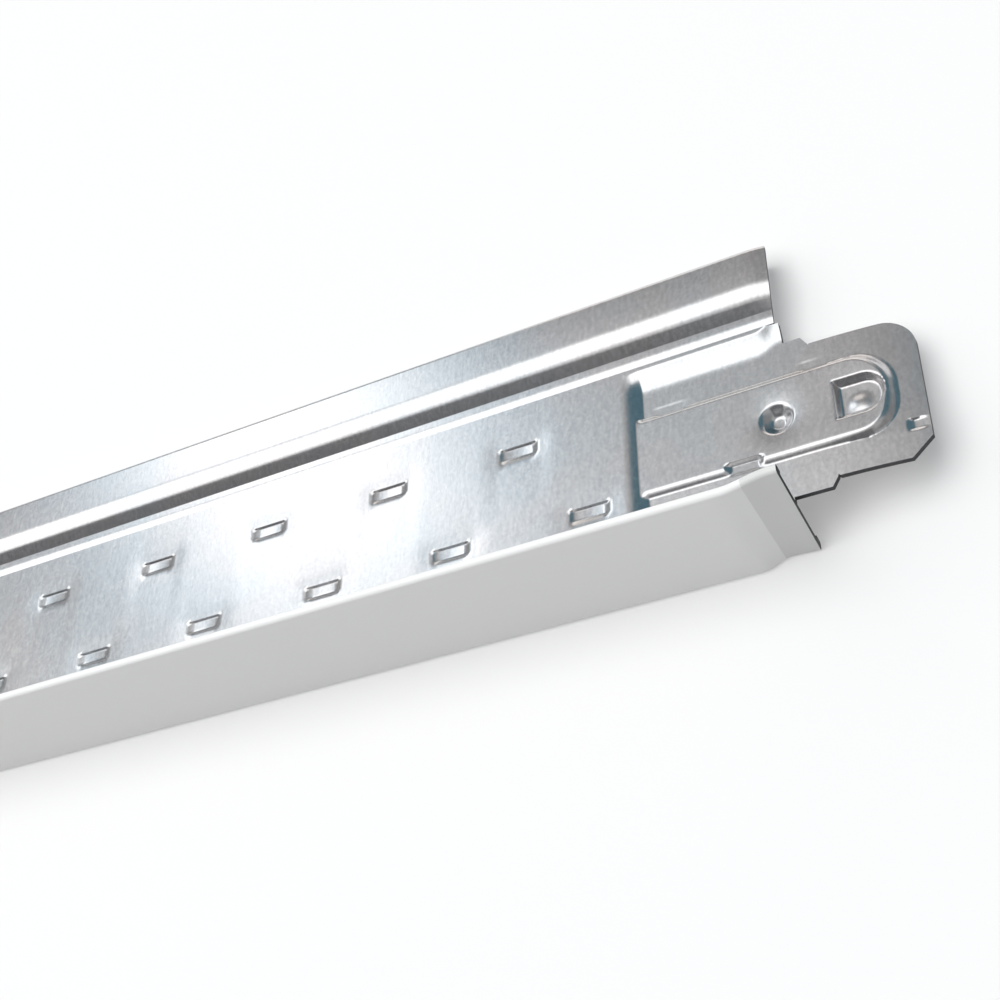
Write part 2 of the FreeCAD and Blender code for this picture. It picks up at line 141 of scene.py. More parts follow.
def galvanisedSteel():
    material = bpy.data.materials.new("galvanisedSteel")
    material.use_nodes = True
    tree = material.node_tree
    links = tree.links
    shader = tree.nodes["Principled BSDF"]
    place = addNode(tree, "ShaderNodeTexCoord")
    streaks = addNode(tree, "ShaderNodeGroup", {"node_tree": millStreaks}, galvanised["streaks"])
    links.new(place.outputs["Object"], streaks.inputs["Vector"])
    tone = addNode(tree, "ShaderNodeMapRange", {}, galvanised["toneRange"])
    links.new(streaks.outputs["Tone"], tone.inputs["Value"])
    metal = addNode(tree, "ShaderNodeMix", {"data_type": "RGBA"},
                    {"A": galvanised["dark"], "B": galvanised["light"]})
    links.new(tone.outputs["Result"], metal.inputs["Factor"])
    patches = addNode(tree, "ShaderNodeTexNoise", {}, {"Scale": galvanised["patches"], "Detail": 2.0})
    links.new(place.outputs["Object"], patches.inputs["Vector"])
    tint = addNode(tree, "ShaderNodeMix", {"data_type": "RGBA"},
                   {"A": galvanised["blue"], "B": galvanised["pink"]})
    split = addNode(tree, "ShaderNodeMapRange", {}, galvanised["tintRange"])
    links.new(patches.outputs["Fac"], split.inputs["Value"])
    links.new(split.outputs["Result"], tint.inputs["Factor"])
    colour = addNode(tree, "ShaderNodeMix", {"data_type": "RGBA"}, {"Factor": galvanised["tint"]})
    links.new(metal.outputs["Result"], colour.inputs["A"])
    links.new(tint.outputs["Result"], colour.inputs["B"])
    links.new(colour.outputs["Result"], shader.inputs["Base Color"])
    rough = addNode(tree, "ShaderNodeMapRange", {},
                    {"To Min": galvanised["roughLow"], "To Max": galvanised["roughHigh"]})
    links.new(streaks.outputs["Tone"], rough.inputs["Value"])
    links.new(rough.outputs["Result"], shader.inputs["Roughness"])
    bump = addNode(tree, "ShaderNodeBump", {}, {"Strength": galvanised["bump"], "Distance": bumpDistance})
    links.new(streaks.outputs["Height"], bump.inputs["Height"])
    links.new(bump.outputs["Normal"], shader.inputs["Normal"])
    shader.inputs["Metallic"].default_value = 1.0
    return material


# Cut rims: rough raw steel whose near-black tone is partly painted shade
rimSteelAndShade = {"dark": (0.015, 0.015, 0.017, 1), "light": (0.10, 0.10, 0.105, 1),
               "metallic": 0.8, "rough": 0.55,
               "streaks": {"Along": 4000.0, "Across": 900.0, "Grain": 5000.0}}


def rimSteelAndShadeMaterial():
    # Sheared edge of the strip, rougher than its faces and near black: partly the raw cut steel and partly
    # painted shade along the rim
    material = bpy.data.materials.new("rimSteelAndShade")
    material.use_nodes = True
    tree = material.node_tree
    shader = tree.nodes["Principled BSDF"]
    place = addNode(tree, "ShaderNodeTexCoord")
    streaks = addNode(tree, "ShaderNodeGroup", {"node_tree": millStreaks}, rimSteelAndShade["streaks"])
    tree.links.new(place.outputs["Object"], streaks.inputs["Vector"])
    colour = addNode(tree, "ShaderNodeMix", {"data_type": "RGBA"},
                     {"A": rimSteelAndShade["dark"], "B": rimSteelAndShade["light"]})
    tree.links.new(streaks.outputs["Tone"], colour.inputs["Factor"])
    tree.links.new(colour.outputs["Result"], shader.inputs["Base Color"])
    shader.inputs["Metallic"].default_value = rimSteelAndShade["metallic"]
    shader.inputs["Roughness"].default_value = rimSteelAndShade["rough"]
    return material


# The second pair of tones is a darker, slightly greener paint given to the raised flange ends past the
# crease
paintFinish = {"white": ((0.735, 0.735, 0.737, 1), (0.755, 0.755, 0.755, 1)),
               "pressed": ((0.595, 0.605, 0.595, 1), (0.615, 0.62, 0.61, 1)),
               "roughLow": 0.42, "roughHigh": 0.55, "bump": 0.04,
               "streaks": {"Along": 300.0, "Across": 300.0, "Grain": 3500.0}}


def whitePaint(name, tones):
    material = bpy.data.materials.new(name)
    material.use_nodes = True
    tree = material.node_tree
    shader = tree.nodes["Principled BSDF"]
    place = addNode(tree, "ShaderNodeTexCoord")
    streaks = addNode(tree, "ShaderNodeGroup", {"node_tree": millStreaks}, paintFinish["streaks"])
    tree.links.new(place.outputs["Object"], streaks.inputs["Vector"])
    colour = addNode(tree, "ShaderNodeMix", {"data_type": "RGBA"}, {"A": tones[0], "B": tones[1]})
    tree.links.new(streaks.outputs["Tone"], colour.inputs["Factor"])
    tree.links.new(colour.outputs["Result"], shader.inputs["Base Color"])
    rough = addNode(tree, "ShaderNodeMapRange", {},
                    {"To Min": paintFinish["roughLow"], "To Max": paintFinish["roughHigh"]})
    tree.links.new(streaks.outputs["Tone"], rough.inputs["Value"])
    tree.links.new(rough.outputs["Result"], shader.inputs["Roughness"])
    bump = addNode(tree, "ShaderNodeBump", {}, {"Strength": paintFinish["bump"], "Distance": bumpDistance})
    tree.links.new(streaks.outputs["Height"], bump.inputs["Height"])
    tree.links.new(bump.outputs["Normal"], shader.inputs["Normal"])
    return material


steel = galvanisedSteel()
# The cut rims' material: raw steel darkened to near black, partly painted shade
rimAndShade = rimSteelAndShadeMaterial()
paint = whitePaint("whitePaint", paintFinish["white"])
raisedEndPaint = whitePaint("raisedEndPaint", paintFinish["pressed"])
print("materials made")


# Making and finishing a piece

sharpFrom = 35  # degrees between two faces


def finishPiece(name, bm, materials, node):
    # Lay the piece down with the tee, shade it and let it ride on the tee's body
    bm.transform(layDown)
    mesh = bpy.data.meshes.new(name)
    for face in bm.faces:
        face.smooth = True
    bm.to_mesh(mesh)
    bm.free()
    mesh.set_sharp_from_angle(angle=math.radians(sharpFrom))
    for material in materials:
        mesh.materials.append(material)
    piece = bpy.data.objects.new(name, mesh)
    bpy.context.scene.collection.objects.link(piece)
    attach(piece, "root")
    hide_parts(node)
    print("made", name, "with", len(mesh.polygons), "faces")


def finishSteel(name, bm):
    finishPiece(name, bm, [steel, rimAndShade], "tee_body")


def thicken(bm, thickness):
    # Give the sheet its wall and paint the cut rim with the second material, whose near-black tone is partly
    # painted shade
    skin = set(bm.verts)
    bmesh.ops.solidify(bm, geom=bm.faces[:], thickness=thickness)
    for face in bm.faces:
        old = sum(1 for vert in face.verts if vert in skin)
        if 0 < old < len(face.verts):
            face.material_index = 1


def turnTowards(bm, direction):
    # Point an open sheet's faces the way its largest share should look
    total = sum((face.normal * face.calc_area() for face in bm.faces), Vector())
    if total.dot(Vector(direction)) < 0:
        bmesh.ops.reverse_faces(bm, faces=bm.faces[:])


def drawnStrip(points, rounds, x0, x1):
    # Draw a section from a few points, round its bends and draw it out along the tee
    bm = bmesh.new()
    verts = [bm.verts.new((x0, y, z)) for y, z in points]
    for first, last in zip(verts, verts[1:]):
        bm.edges.new((first, last))
    for index, (radius, segments) in rounds.items():
        bmesh.ops.bevel(bm, geom=[verts[index]], offset=radius, offset_type="OFFSET",
                        segments=segments, profile=0.5, affect="VERTICES", material=-1)
    drawn = bmesh.ops.extrude_edge_only(bm, edges=bm.edges[:])
    moved = [item for item in drawn["geom"] if isinstance(item, bmesh.types.BMVert)]
    bmesh.ops.translate(bm, verts=moved, vec=(x1 - x0, 0, 0))
    bmesh.ops.recalc_face_normals(bm, faces=bm.faces[:])
    return bm


def cutPlane(bm, point, normal, clear, dist=1e-4):
    # Cut all faces by a plane and, if asked, clear away what lies beyond it
    bmesh.ops.bisect_plane(bm, geom=bm.verts[:] + bm.edges[:] + bm.faces[:], dist=dist,
                           plane_co=point, plane_no=normal, clear_outer=clear)


def cutAcross(bm, places):
    for x in places:
        cutPlane(bm, (x, 0, 0), (1, 0, 0), False, dist=1e-5)


# Stamped relief, measured along the tee from the flange end (u) and up from the face (z)

stitch = {"pitch": 15.9, "length": 4.7, "width": 1.95, "depth": 0.34, "upperTop": 17.85, "lowerTop": 8.0,
          "upperBack": 31.5, "lowerBack": 23.6, "dent": 0.05, "dentReach": 0.8,
          "endWall": 0.75, "topWall": 0.14, "bottomWall": 0.8, "clearEnd": 4.0, "clearSide": 5.0}
panel = {"depth": 0.8, "start": -17.2, "sideRamp": 2.1, "top": 22.3, "topRamp": 2.7,
         "bottom": 1.9, "bottomRamp": 0.5, "sink": 0.0065, "sinkFrom": 1.5, "skirt": 0.03, "skirtTop": 7.0,
         "foot": 1.55, "lift": 0.9, "liftStart": -2.6, "liftRun": 2.4}
rib = {"bottom": 7.15, "top": 16.7, "reach": 10.25, "corner": 4.0, "level": 0.4, "ramp": 0.85,
       "upperRamp": 0.7, "upperFrom": 14.0, "upperRun": 4.0, "tipRamp": 1.25, "tipFrom": 5.5, "tipRun": 3.5,
       "tipLow": 7.6, "tipLowRun": 3.0}
dimple = {"u": -1.45, "z": 11.9, "radius": 1.85, "depth": 0.85, "wall": 1.3, "dent": 0.28, "dentReach": 1.55}
catch = {"start": 4.2, "reach": 9.35, "half": 2.3, "z": 11.95, "depth": 0.75, "wall": 0.7, "dent": 0.12,
         "dentU": 6.6, "dentReach": 2.2, "knobU": 6.6, "knobZ": 11.2, "knobReach": 1.6, "knobRise": 0.22}
# Stitches that the press has flattened on the panel: start, upper edge, length and level
flattened = [(-14.4, 17.65, 4.2, 0.83), (0.9, 17.7, 5.2, 0.83),
             (-7.2, 8.3, 4.3, 0.86), (10.3, 8.1, 4.9, 1.58)]
flatShape = {"width": 1.35, "endWall": 0.9, "topWall": 0.16, "bottomWall": 0.3}


def dentRelief(u, z, depth, reach):
    return depth * math.exp(-(u * u + z * z) / (2 * reach * reach))


def stitchRelief(s, t, depth):
    # Depth of one stitch, s along it from its start and t down from its sheared upper edge
    ends = smooth(min(s, stitch["length"] - s) / stitch["endWall"])
    walls = smooth(t / stitch["topWall"]) * smooth((stitch["width"] - t) / stitch["bottomWall"])
    outU = max(-s, s - stitch["length"], 0.0)
    outZ = max(-t, t - stitch["width"], 0.0)
    dent = dentRelief(outU, outZ, stitch["dent"], stitch["dentReach"])
    return (depth - stitch["dent"]) * ends * walls + dent * depth / stitch["depth"]


def flatStitch(s, t, length):
    # Share of a flattened stitch's depth, 0 outside it and 1 on its floor
    ends = smooth(min(s, length - s) / flatShape["endWall"])
    upper = smooth(t / flatShape["topWall"])
    lower = smooth((flatShape["width"] - t) / flatShape["bottomWall"])
    return ends * upper * lower


def rowRelief(u, z, back, top):
    # Depth of the nearest stitch of a row at a place on the web
    if u > -back + stitch["length"] + stitch["clearEnd"] or abs(top - z) > stitch["clearSide"]:
        return 0.0
    near = (u + back) % stitch["pitch"]
    if near > (stitch["pitch"] + stitch["length"]) / 2:
        near -= stitch["pitch"]
    return stitchRelief(near, top - z, stitch["depth"])


def webRelief(u, z):
    upper = rowRelief(u, z, stitch["upperBack"], stitch["upperTop"])
    lower = rowRelief(u, z, stitch["lowerBack"], stitch["lowerTop"])
    return upper + lower


def crispFoot(t):
    # A ramp that leaves the web softly and meets the panel in a crisp fold
    return min(max(t, 0.0), 1.0) ** panel["foot"]


def insideRib(u, z):
    # Distance into the raised tongue from its outline, below 0 outside it
    corner = rib["corner"]
    across = u - (rib["reach"] - corner)
    up = abs(z - (rib["top"] + rib["bottom"]) / 2) - ((rib["top"] - rib["bottom"]) / 2 - corner)
    if across > 0 and up > 0:
        return corner - math.hypot(across, up)
    return corner - max(across, up)


def insideCatch(u, z):
    up = abs(z - catch["z"])
    centre = catch["reach"] - catch["half"]
    right = catch["half"] - math.hypot(max(u - centre, 0.0), up)
    return min(u - catch["start"], right)


def clipRelief(u, z):
    # Depth of the near face at the stamped end, from web, panel, tongue, dimple and catch
    side = crispFoot((u - panel["start"]) / panel["sideRamp"])
    lift = panel["lift"] * smooth((u - panel["liftStart"]) / panel["liftRun"])
    top = math.sin(min(max((panel["top"] + lift - z) / panel["topRamp"], 0.0), 1.0) * math.pi / 2)
    bottom = smooth((z - panel["bottom"]) / panel["bottomRamp"])
    past = max(u - panel["sinkFrom"], 0.0)
    low = panel["depth"] + panel["sink"] * past * past + panel["skirt"] * max(panel["skirtTop"] - z, 0.0)
    depth = low * side * top * bottom
    lowShare = smooth((rib["upperFrom"] - z) / rib["upperRun"])
    tipShare = smooth((u - rib["tipFrom"]) / rib["tipRun"]) * smooth((z - rib["tipLow"]) / rib["tipLowRun"])
    width = rib["upperRamp"] + (rib["ramp"] - rib["upperRamp"]) * lowShare
    width += (rib["tipRamp"] - width) * tipShare
    inside = min(max(insideRib(u, z) / width, 0.0), 1.0)
    inside = math.sin(inside * math.pi / 2) * (1 - tipShare) + smooth(inside) * tipShare
    depth += (min(depth, rib["level"]) - depth) * inside
    pit = math.hypot(u - dimple["u"], z - dimple["z"])
    depth += dimple["depth"] * smooth((dimple["radius"] - pit) / dimple["wall"])
    depth += dentRelief(u - dimple["u"], z - dimple["z"], dimple["dent"], dimple["dentReach"]) * inside
    depth += catch["depth"] * smooth(insideCatch(u, z) / catch["wall"])
    depth += dentRelief(u - catch["dentU"], z - catch["z"], catch["dent"], catch["dentReach"]) * inside
    knob = math.hypot(u - catch["knobU"], z - catch["knobZ"])
    depth -= catch["knobRise"] * smooth((catch["knobReach"] - knob) / catch["knobReach"])
    for start, top, length, pressed in flattened:
        depth += max(pressed - depth, 0.0) * flatStitch(u - start, top - z, length)
    return depth + webRelief(u, z)


# Stitched web between the two stamped ends

web = {"low": 1.1, "high": 22.8, "endBack": 18.0, "cells": 36, "plainEnd": 1.5, "plainFade": 1.2,
       "columnCrowd": (-1.5, -0.8, -0.3, 0.0, 0.28, 0.55, 1.0),
       "rowCrowd": (-1.9, -0.9, -0.35, 0.0, 0.07, 0.14, 0.5, 1.0, 1.13, 1.25, 1.38, 1.5, 1.9, 2.6)}


def stitchedWeb():
    pitch = stitch["pitch"]
    start = tee["flangeEnd"] - web["endBack"] - pitch
    columns = {0.0, pitch}
    for back in (stitch["upperBack"], stitch["lowerBack"]):
        first = tee["flangeEnd"] - back - start
        for step in web["columnCrowd"]:
            columns.add(round(first + step, 4))
            columns.add(round(first + stitch["length"] - step, 4))
    columns = sorted(c for c in columns if 0 <= c <= pitch)
    rows = {web["low"], web["high"]}
    for top in (stitch["upperTop"], stitch["lowerTop"]):
        rows.update(round(top - step, 4) for step in web["rowCrowd"])
    rows = sorted(r for r in rows if web["low"] <= r <= web["high"])
    bm = bmesh.new()
    bmesh.ops.create_grid(bm, x_segments=len(columns) - 1, y_segments=len(rows) - 1, size=0.5)
    for vert in bm.verts:
        column = round((vert.co.x + 0.5) * (len(columns) - 1))
        row = round((vert.co.y + 0.5) * (len(rows) - 1))
        vert.co = (start + columns[column], 0, rows[row])
    bmesh.ops.recalc_face_normals(bm, faces=bm.faces[:])
    turnTowards(bm, (0, -1, 0))
    cell = bm.verts[:] + bm.edges[:] + bm.faces[:]
    for index in range(1, web["cells"]):
        copied = bmesh.ops.duplicate(bm, geom=cell)
        verts = [item for item in copied["geom"] if isinstance(item, bmesh.types.BMVert)]
        bmesh.ops.translate(bm, verts=verts, vec=(-index * pitch, 0, 0))
    bmesh.ops.remove_doubles(bm, verts=bm.verts[:], dist=0.001)
    farEnd = -(tee["flangeEnd"] - web["endBack"])
    cutPlane(bm, (farEnd, 0, 0), (-1, 0, 0), True)
    for vert in bm.verts:
        fade = smooth((vert.co.x - farEnd - web["plainEnd"]) / web["plainFade"])
        vert.co.y = -tee["web"] + webRelief(vert.co.x - tee["flangeEnd"], vert.co.z) * fade
    thicken(bm, 2 * tee["web"])
    finishSteel("teeWeb", bm)


# Stamped clip end, cut to its outline before the sheet is pressed

clip = {"reach": 12.5, "bottom": 3.95, "top": 19.65, "upperRound": 3.25, "lowerCut": (2.1, 2.0),
        "tabBottom": 2.95, "tabTop": 20.65, "topTab": 1.75, "bottomTab": 2.95, "tabSlope": 0.65,
        "cutFrom": -0.7, "step": 0.135, "halfway": 10.0, "beyond": 99.0}


def trim(bm, box, point, normal):
    # Cut away what lies beyond a plane, among the faces inside a box of u and z
    u0, u1, z0, z1 = box
    faces = []
    for face in bm.faces:
        middle = face.calc_center_median()
        if u0 <= middle.x <= u1 and z0 <= middle.z <= z1:
            faces.append(face)
    edges = {e for face in faces for e in face.edges}
    verts = {v for face in faces for v in face.verts}
    bmesh.ops.bisect_plane(bm, geom=list(verts) + list(edges) + faces, dist=1e-4, clear_outer=True,
                           plane_co=(point[0], 0, point[1]), plane_no=(normal[0], 0, normal[1]))


def roundCorner(bm, centre, radius, steps=12):
    # Cut the upper corner's quarter round as a fan of short cuts
    for index in range(steps):
        angle = math.radians(90 * (index + 0.5) / steps)
        normal = (math.cos(angle), math.sin(angle))
        point = (centre[0] + radius * normal[0], centre[1] + radius * normal[1])
        trim(bm, (centre[0], clip["beyond"], centre[1], clip["beyond"]), point, normal)


def clipBlank():
    # The flat end of the web, cropped to the clip's outline past the flange end
    bm = bmesh.new()
    long = web["endBack"] + clip["reach"]
    tall = web["high"] - web["low"]
    bmesh.ops.create_grid(bm, x_segments=round(long / clip["step"]), y_segments=round(tall / clip["step"]),
                          size=0.5)
    for vert in bm.verts:
        across = (vert.co.x + 0.5) * long - web["endBack"]
        vert.co = (across, 0, web["low"] + (vert.co.y + 0.5) * tall)
    bmesh.ops.recalc_face_normals(bm, faces=bm.faces[:])
    turnTowards(bm, (0, -1, 0))
    slope = clip["tabSlope"]
    topTab, bottomTab = clip["topTab"], clip["bottomTab"]
    halfway, beyond = clip["halfway"], clip["beyond"]
    cutAcross(bm, (clip["cutFrom"], 0.0, topTab, topTab + slope, bottomTab, bottomTab + slope))
    trim(bm, (0, beyond, halfway, beyond), (0, clip["tabTop"]), (0, 1))
    trim(bm, (clip["cutFrom"], beyond, -beyond, halfway), (0, clip["tabBottom"]), (0, -1))
    topDrop = clip["tabTop"] - clip["top"]
    bottomRise = clip["bottom"] - clip["tabBottom"]
    trim(bm, (topTab, topTab + slope, halfway, beyond), (topTab, clip["tabTop"]), (topDrop, slope))
    trim(bm, (bottomTab, bottomTab + slope, -beyond, halfway), (bottomTab, clip["tabBottom"]),
         (bottomRise, -slope))
    trim(bm, (topTab + slope, beyond, halfway, beyond), (0, clip["top"]), (0, 1))
    trim(bm, (bottomTab + slope, beyond, -beyond, halfway), (0, clip["bottom"]), (0, -1))
    upper = (clip["reach"] - clip["upperRound"], clip["top"] - clip["upperRound"])
    roundCorner(bm, upper, clip["upperRound"])
    along, up = clip["lowerCut"]
    trim(bm, (bottomTab, beyond, -beyond, halfway), (clip["reach"], clip["bottom"] + up), (up, -along))
    return bm


def clipEnd(name, turned):
    bm = clipBlank()
    for vert in bm.verts:
        vert.co.y = -tee["web"] + clipRelief(vert.co.x, vert.co.z)
    thicken(bm, 2 * tee["web"])
    bmesh.ops.translate(bm, verts=bm.verts[:], vec=(tee["flangeEnd"], 0, 0))
    if turned:
        bm.transform(halfTurn)
    finishSteel(name, bm)


# Hollow bulb, folded flange and its raised ends

# Bends are given as point of the section: radius and segments
bulb = {"width": 3.9, "stepLow": 22.85, "stepHigh": 23.5, "stepOut": 0.2, "root": 24.4, "under": 26.3,
        "bends": {1: (0.25, 4), 2: (0.25, 4), 4: (1.2, 14), 5: (0.7, 8)},
        "shear": 1.0, "pinch": 0.12, "pinchReach": 1.6, "pinchCuts": 6}


def hollowBulb():
    half, ply = bulb["width"] / 2, tee["web"]
    outer = ply + bulb["stepOut"]
    side = [(ply, web["high"]), (ply, bulb["stepLow"]), (outer, bulb["stepHigh"]), (outer, bulb["root"]),
            (half, bulb["under"]), (half, tee["height"])]
    points = [(-y, z) for y, z in side] + [(y, z) for y, z in reversed(side)]
    rounds = {}
    for index, bend in bulb["bends"].items():
        rounds[index] = bend
        rounds[len(points) - 1 - index] = bend
    bm = drawnStrip(points, rounds, -tee["flangeEnd"], tee["flangeEnd"])
    centre = Vector((0, 0, (bulb["under"] + tee["height"]) / 2))
    outward = sum(face.normal.dot(face.calc_center_median() - centre) for face in bm.faces)
    if outward < 0:
        bmesh.ops.reverse_faces(bm, faces=bm.faces[:])
    for way in (1, -1):
        cutPlane(bm, (way * tee["flangeEnd"], -way * half, 0),
                 (way * bulb["width"], way * bulb["shear"], 0), True)
    # The shear pinches the ends of the bulb a little
    inner = tee["flangeEnd"] - bulb["pinchReach"] - bulb["shear"]
    places = [inner + bulb["pinchReach"] * step / bulb["pinchCuts"] for step in range(bulb["pinchCuts"] + 1)]
    cutAcross(bm, places + [-place for place in places])
    for vert in bm.verts:
        past = max(abs(vert.co.x) - inner, 0.0) / (bulb["pinchReach"] + bulb["shear"])
        vert.co.y *= 1 - bulb["pinch"] * past * past
    thicken(bm, tee["sheet"])
    finishSteel("teeBulb", bm)


flange = {"inset": 0.33, "level": 0.6, "foldTop": 1.4, "bends": {1: (0.5, 6)}}


def flangeHalf(name, side):
    # One half of the inner flange, bent out of its ply of the web
    outer, level = tee["face"] / 2 - flange["inset"], flange["level"]
    points = [(side * outer, level), (side * tee["web"], level), (side * tee["web"], flange["foldTop"])]
    bm = drawnStrip(points, flange["bends"], -tee["raisedFrom"], tee["raisedFrom"])
    turnTowards(bm, (0, 0, 1))
    thicken(bm, tee["sheet"])
    finishSteel(name, bm)


def cutAskew(bm, back, clear):
    # Cut both flange ends along a line askew like their shear, a distance back from it
    for way in (1, -1):
        cutPlane(bm, (way * (tee["flangeEnd"] - back), 0, 0), (way, way * joggle["askew"], 0), clear)


def followJoggle(bm):
    # Raise both flange ends and shear them
    places = [tee["raisedFrom"] + joggle["cutRun"] * step / joggle["cuts"] for step in range(joggle["cuts"])]
    cutAcross(bm, places + [-place for place in places])
    cutAskew(bm, joggle["crease"], False)
    cutAskew(bm, joggle["sheared"], True)
    for vert in bm.verts:
        vert.co.z += rise(vert.co.x, vert.co.y)


def raisedEnd(name, turned):
    outer, level = tee["face"] / 2 - flange["inset"], flange["level"]
    points = [(-outer, level), (0, level), (outer, level)]
    bm = drawnStrip(points, {}, tee["raisedFrom"], tee["flangeEnd"] + tee["spare"])
    turnTowards(bm, (0, 0, 1))
    followJoggle(bm)
    thicken(bm, tee["sheet"])
    if turned:
        bm.transform(halfTurn)
    finishSteel(name, bm)


# White face strip, hemmed over both edges of the flange

faceCap = {"hem": 1.5, "hemTop": 0.93, "sheet": 0.3,
           "bends": {1: (0.34, 6), 2: (0.42, 8), 3: (0.42, 8), 4: (0.34, 6)}}


def capStrip():
    half, hem, top = tee["face"] / 2, faceCap["hem"], faceCap["hemTop"]
    points = [(-half + hem, top), (-half, top), (-half, 0), (half, 0), (half, top), (half - hem, top)]
    end = tee["flangeEnd"] + tee["spare"]
    bm = drawnStrip(points, faceCap["bends"], -end, end)
    turnTowards(bm, (0, 0, -1))
    followJoggle(bm)
    # Faces past the crease on the raised ends take the darker, slightly greener paint tone
    for face in bm.faces:
        middle = face.calc_center_median()
        if backFromEnd(middle.x, middle.y) < joggle["crease"]:
            face.material_index = 2
    thicken(bm, faceCap["sheet"])
    finishPiece("faceCapStrip", bm, [paint, rimAndShade, raisedEndPaint], "face_cap")


stitchedWeb()
clipEnd("teeClipRight", False)
clipEnd("teeClipLeft", True)
hollowBulb()
flangeHalf("teeFlangeNear", -1)
flangeHalf("teeFlangeFar", 1)
raisedEnd("teeRaisedRight", False)
raisedEnd("teeRaisedLeft", True)
capStrip()


# Floor, light and camera

paper = {"size": 4.0, "tone": (0.56, 0.56, 0.56, 1), "glow": 0.25, "rough": 0.9}


def studioFloor():
    bm = bmesh.new()
    bmesh.ops.create_grid(bm, x_segments=1, y_segments=1, size=paper["size"])
    mesh = bpy.data.meshes.new("studioFloor")
    bm.to_mesh(mesh)
    bm.free()
    floor = bpy.data.objects.new("studioFloor", mesh)
    material = bpy.data.materials.new("palePaper")
    material.use_nodes = True
    shader = material.node_tree.nodes["Principled BSDF"]
    shader.inputs["Base Color"].default_value = paper["tone"]
    shader.inputs["Emission Color"].default_value = (1, 1, 1, 1)
    shader.inputs["Emission Strength"].default_value = paper["glow"]
    shader.inputs["Roughness"].default_value = paper["rough"]
    shader.inputs["Specular IOR Level"].default_value = 0.0
    mesh.materials.append(material)
    bpy.context.scene.collection.objects.link(floor)


lights = {
    "overheadSoft": {"place": (0.1, 0.02, 1.1), "aim": (0.2, 0, 0), "size": (1.2, 0.9), "power": 11.0},
}


def softLight(name, setting):
    data = bpy.data.lights.new(name, "AREA")
    data.shape = "RECTANGLE"
    data.size, data.size_y = setting["size"]
    data.energy = setting["power"]
    lamp = bpy.data.objects.new(name, data)
    lamp.location = setting["place"]
    aim = Vector(setting["aim"]) - Vector(setting["place"])
    lamp.rotation_euler = aim.to_track_quat("-Z", "Y").to_euler()
    lamp.visible_glossy = False
    bpy.context.scene.collection.objects.link(lamp)


view = {"place": (0.330939, -0.068659, 0.138052), "turn": (21.1464, 28.4766, -5.7410), "lens": 56.475}


def photoCamera():
    data = bpy.data.cameras.new("photoCamera")
    data.lens = view["lens"]
    data.sensor_width = 36
    data.clip_start = 0.01
    camera = bpy.data.objects.new("photoCamera", data)
    camera.location = view["place"]
    camera.rotation_euler = [math.radians(angle) for angle in view["turn"]]
    bpy.context.scene.collection.objects.link(camera)
    bpy.context.scene.camera = camera


studioFloor()
for name, setting in lights.items():
    softLight(name, setting)
photoCamera()

# Studio round the tee: a soft grey that darkens downwards and towards the clip's side, with
# soft screens that the metal mirrors. A screen is aimed by its X part and its angle up from +Y.
studio = {
    "darkest": 0.30,
    "upShade": {"From Min": 0.3, "From Max": 0.75, "To Min": 0.07, "To Max": 0.83},
    "sideShade": {"From Min": -0.7, "From Max": 0.1, "To Min": 0.26, "To Max": -0.34},
    "screens": [
        {"name": "darkSide", "x": 0.545, "angle": 47,
         "half": (0.38, 0.44), "soft": 0.16, "colour": (0.11, 0.20, 0.245, 1)},
        {"name": "darkFront", "x": -0.33, "angle": 146,
         "half": (0.75, 0.74), "soft": 0.07, "colour": (0.17, 0.17, 0.175, 1)},
        {"name": "overhead", "x": -0.42, "angle": 75,
         "half": (0.62, 0.31), "soft": 0.06, "colour": (1.8, 1.8, 1.8, 1)},
        {"name": "lowStrip", "x": -0.10, "angle": 11,
         "half": (0.25, 0.19), "soft": 0.05, "colour": (1.3, 1.22, 1.15, 1)},
        {"name": "windowGlow", "x": -0.51, "angle": 35,
         "half": (0.112, 0.18), "soft": 0.05, "colour": (0.60, 0.80, 0.95, 1)},
        {"name": "window", "x": -0.51, "angle": 35,
         "half": (0.079, 0.155), "soft": 0.02, "colour": (2.2, 2.2, 2.2, 1)},
    ],
}


